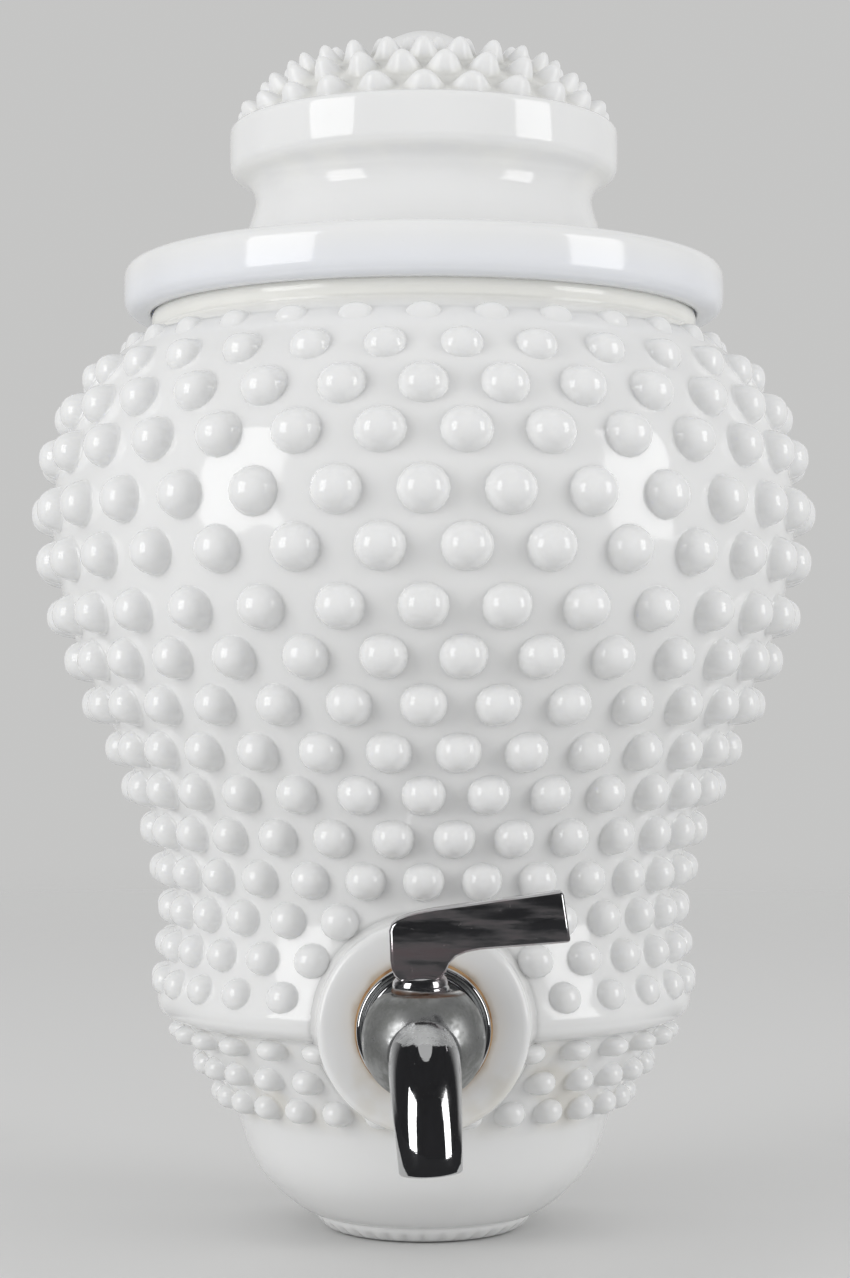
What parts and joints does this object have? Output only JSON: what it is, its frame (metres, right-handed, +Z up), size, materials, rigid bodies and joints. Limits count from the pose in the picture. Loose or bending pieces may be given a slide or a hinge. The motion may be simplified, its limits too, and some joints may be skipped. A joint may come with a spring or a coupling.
{
  "type": "lavabo",
  "caption": "Wall-hung water urn of white glass with a knobbed round front, a flat back, a lift-off lid and a quarter-turn lever tap with a curved spout.",
  "frame": {"origin": "on the flat back of the urn, on its centre line, 120 mm above the foot", "axes": "+Z up, -Y out of the knobbed front, +Y into the wall, +X to the right seen from the front"},
  "size_m": [0.1884, 0.1435, 0.2913],
  "materials": {
    "milk_glass": "opaque white glass, fire-polished gloss",
    "chrome": "polished plating with fine wear",
    "perished_rubber": "matt, stained orange brown",
    "black_rubber": "matt",
    "brass": "satin",
    "steel": "satin"
  },
  "bodies": {
    "urn": {"urn_glass": "milk_glass", "tap_body": "chrome", "outer_gasket": "perished_rubber", "inner_gasket": "black_rubber", "shank_washer": "steel", "shank_nut": "brass"},
    "lid": {"lid_glass": "milk_glass"},
    "key": {"tap_key": "chrome", "tail_washer": "brass", "tail_spring": "steel", "tail_nut": "brass"}
  },
  "joints": [
    {"name": "lid_lift", "type": "slide", "parent": "urn", "child": "lid", "axis": [0, 0, 1], "range_m": [0, 0.06]},
    {"name": "tap_turn", "type": "hinge", "parent": "urn", "child": "key", "pos_m": [0, -0.114, -0.065], "axis": [-0.0628, 0, 0.998], "range_deg": [-90, 0]}
  ]
}
